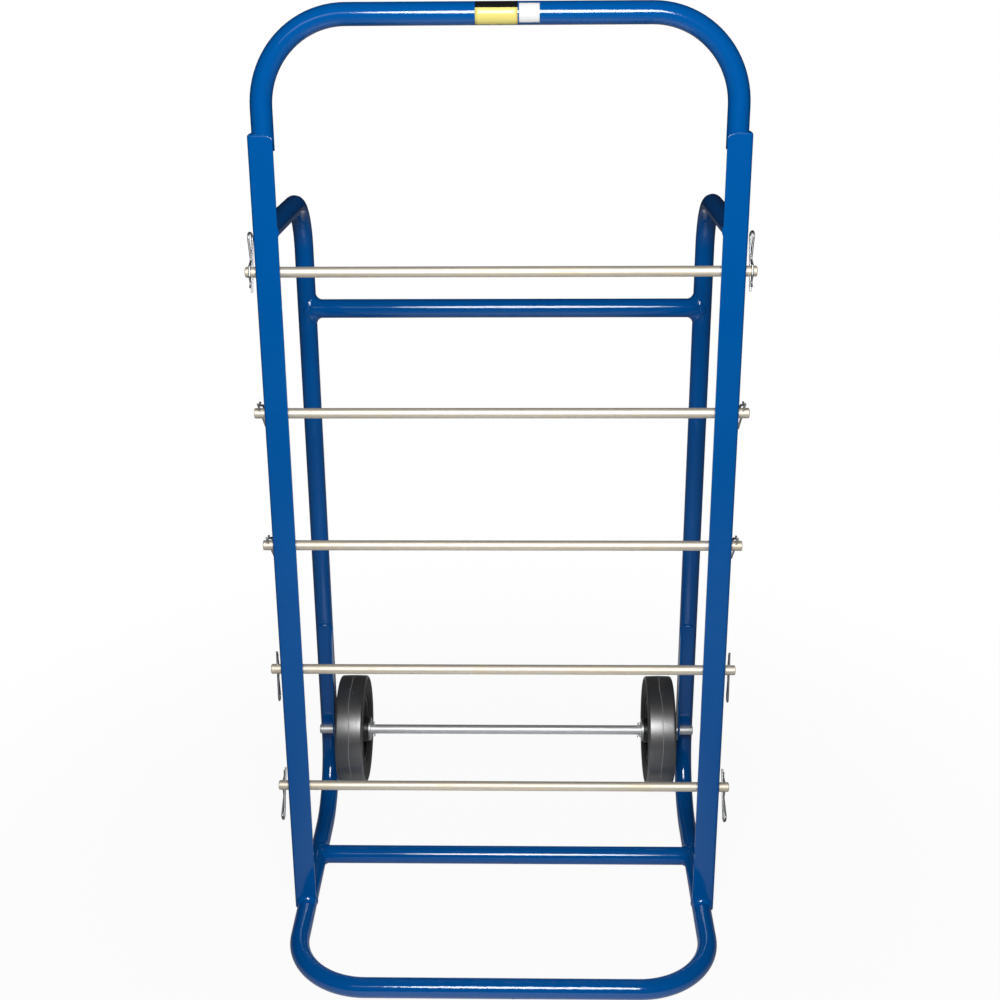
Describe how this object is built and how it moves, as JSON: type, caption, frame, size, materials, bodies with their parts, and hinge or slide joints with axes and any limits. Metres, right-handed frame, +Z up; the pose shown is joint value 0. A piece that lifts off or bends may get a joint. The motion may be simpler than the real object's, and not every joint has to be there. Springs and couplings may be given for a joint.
{
  "type": "wire spool dolly cart",
  "caption": "Upright hand cart with a bent-tube frame, floor loop, removable spool rods held by hairpin cotters, and rubber wheels on an axle for tilting and rolling wire spools.",
  "frame": {"origin": "on the floor, under the middle of the cart's bounding box", "axes": "+Z up, +X to the right as seen from the front, -Y to the front, where the floor loop is"},
  "size_m": [0.7868, 0.6628, 1.5475],
  "materials": {
    "frame_paint": "gloss powder coat",
    "zinc_plate": "bright zinc plate",
    "rod_plate": "zinc plate, faintly yellow",
    "tyre_rubber": "moulded rubber",
    "hub_plastic": "moulded"
  },
  "bodies": {
    "frame": {"handle": "frame_paint", "left_upright": "frame_paint", "right_upright": "frame_paint", "base_loop": "frame_paint", "left_leg": "frame_paint", "right_leg": "frame_paint", "upper_cross_tube": "frame_paint", "lower_cross_tube": "frame_paint", "left_axle_bracket": "frame_paint", "right_axle_bracket": "frame_paint"},
    "wheel_axle": {"wheel_axle": "zinc_plate", "left_split_pin": "zinc_plate", "right_split_pin": "zinc_plate", "left_wheel_washer": "zinc_plate", "right_wheel_washer": "zinc_plate"},
    "left_wheel": {"left_tyre": "tyre_rubber", "left_hub": "hub_plastic", "left_bush": "zinc_plate"},
    "right_wheel": {"right_tyre": "tyre_rubber", "right_hub": "hub_plastic", "right_bush": "zinc_plate"},
    "spool_rod_1": {"spool_rod_1": "rod_plate"},
    "spool_rod_2": {"spool_rod_2": "rod_plate"},
    "spool_rod_3": {"spool_rod_3": "rod_plate"},
    "spool_rod_4": {"spool_rod_4": "rod_plate"},
    "spool_rod_5": {"spool_rod_5": "rod_plate"},
    "left_hairpin_1": {"left_hairpin_1": "zinc_plate"},
    "right_hairpin_1": {"right_hairpin_1": "zinc_plate"},
    "left_hairpin_2": {"left_hairpin_2": "zinc_plate"},
    "right_hairpin_2": {"right_hairpin_2": "zinc_plate"},
    "left_hairpin_3": {"left_hairpin_3": "zinc_plate"},
    "right_hairpin_3": {"right_hairpin_3": "zinc_plate"},
    "left_hairpin_4": {"left_hairpin_4": "zinc_plate"},
    "right_hairpin_4": {"right_hairpin_4": "zinc_plate"},
    "left_hairpin_5": {"left_hairpin_5": "zinc_plate"},
    "right_hairpin_5": {"right_hairpin_5": "zinc_plate"}
  },
  "joints": [
    {"name": "axle_spin", "type": "hinge", "parent": "frame", "child": "wheel_axle", "pos_m": [0, 0.22594, 0.179], "axis": [1, 0, 0], "continuous": true},
    {"name": "left_wheel_spin", "type": "hinge", "parent": "wheel_axle", "child": "left_wheel", "pos_m": [0, 0.22594, 0.179], "axis": [1, 0, 0], "continuous": true},
    {"name": "right_wheel_spin", "type": "hinge", "parent": "wheel_axle", "child": "right_wheel", "pos_m": [0, 0.22594, 0.179], "axis": [1, 0, 0], "continuous": true},
    {"name": "spool_rod_1_spin", "type": "hinge", "parent": "frame", "child": "spool_rod_1", "pos_m": [0, -0.02202, 1.15522], "axis": [1, 0, 0], "continuous": true},
    {"name": "spool_rod_2_spin", "type": "hinge", "parent": "frame", "child": "spool_rod_2", "pos_m": [0, -0.03543, 0.92961], "axis": [1, 0, 0], "continuous": true},
    {"name": "spool_rod_3_spin", "type": "hinge", "parent": "frame", "child": "spool_rod_3", "pos_m": [0, -0.04883, 0.70401], "axis": [1, 0, 0], "continuous": true},
    {"name": "spool_rod_4_spin", "type": "hinge", "parent": "frame", "child": "spool_rod_4", "pos_m": [0, -0.06223, 0.47841], "axis": [1, 0, 0], "continuous": true},
    {"name": "spool_rod_5_spin", "type": "hinge", "parent": "frame", "child": "spool_rod_5", "pos_m": [0, -0.07564, 0.2528], "axis": [1, 0, 0], "continuous": true},
    {"name": "left_hairpin_1_pull", "type": "slide", "parent": "spool_rod_1", "child": "left_hairpin_1", "axis": [0, 0.4067, 0.9135], "range_m": [0, 0.042], "deforming": ["left_hairpin_1"]},
    {"name": "right_hairpin_1_pull", "type": "slide", "parent": "spool_rod_1", "child": "right_hairpin_1", "axis": [0, 0.4067, 0.9135], "range_m": [0, 0.042], "deforming": ["right_hairpin_1"]},
    {"name": "left_hairpin_2_pull", "type": "slide", "parent": "spool_rod_2", "child": "left_hairpin_2", "axis": [0, 0.682, -0.7314], "range_m": [0, 0.042], "deforming": ["left_hairpin_2"]},
    {"name": "right_hairpin_2_pull", "type": "slide", "parent": "spool_rod_2", "child": "right_hairpin_2", "axis": [0, 0.682, -0.7314], "range_m": [0, 0.042], "deforming": ["right_hairpin_2"]},
    {"name": "left_hairpin_3_pull", "type": "slide", "parent": "spool_rod_3", "child": "left_hairpin_3", "axis": [0, 0.682, -0.7314], "range_m": [0, 0.042], "deforming": ["left_hairpin_3"]},
    {"name": "right_hairpin_3_pull", "type": "slide", "parent": "spool_rod_3", "child": "right_hairpin_3", "axis": [0, 0.682, -0.7314], "range_m": [0, 0.042], "deforming": ["right_hairpin_3"]},
    {"name": "left_hairpin_4_pull", "type": "slide", "parent": "spool_rod_4", "child": "left_hairpin_4", "axis": [0, -0.1564, -0.9877], "range_m": [0, 0.042], "deforming": ["left_hairpin_4"]},
    {"name": "right_hairpin_4_pull", "type": "slide", "parent": "spool_rod_4", "child": "right_hairpin_4", "axis": [0, -0.1564, -0.9877], "range_m": [0, 0.042], "deforming": ["right_hairpin_4"]},
    {"name": "left_hairpin_5_pull", "type": "slide", "parent": "spool_rod_5", "child": "left_hairpin_5", "axis": [0, -0.5, -0.866], "range_m": [0, 0.042], "deforming": ["left_hairpin_5"]},
    {"name": "right_hairpin_5_pull", "type": "slide", "parent": "spool_rod_5", "child": "right_hairpin_5", "axis": [0, -0.5, -0.866], "range_m": [0, 0.042], "deforming": ["right_hairpin_5"]}
  ]
}
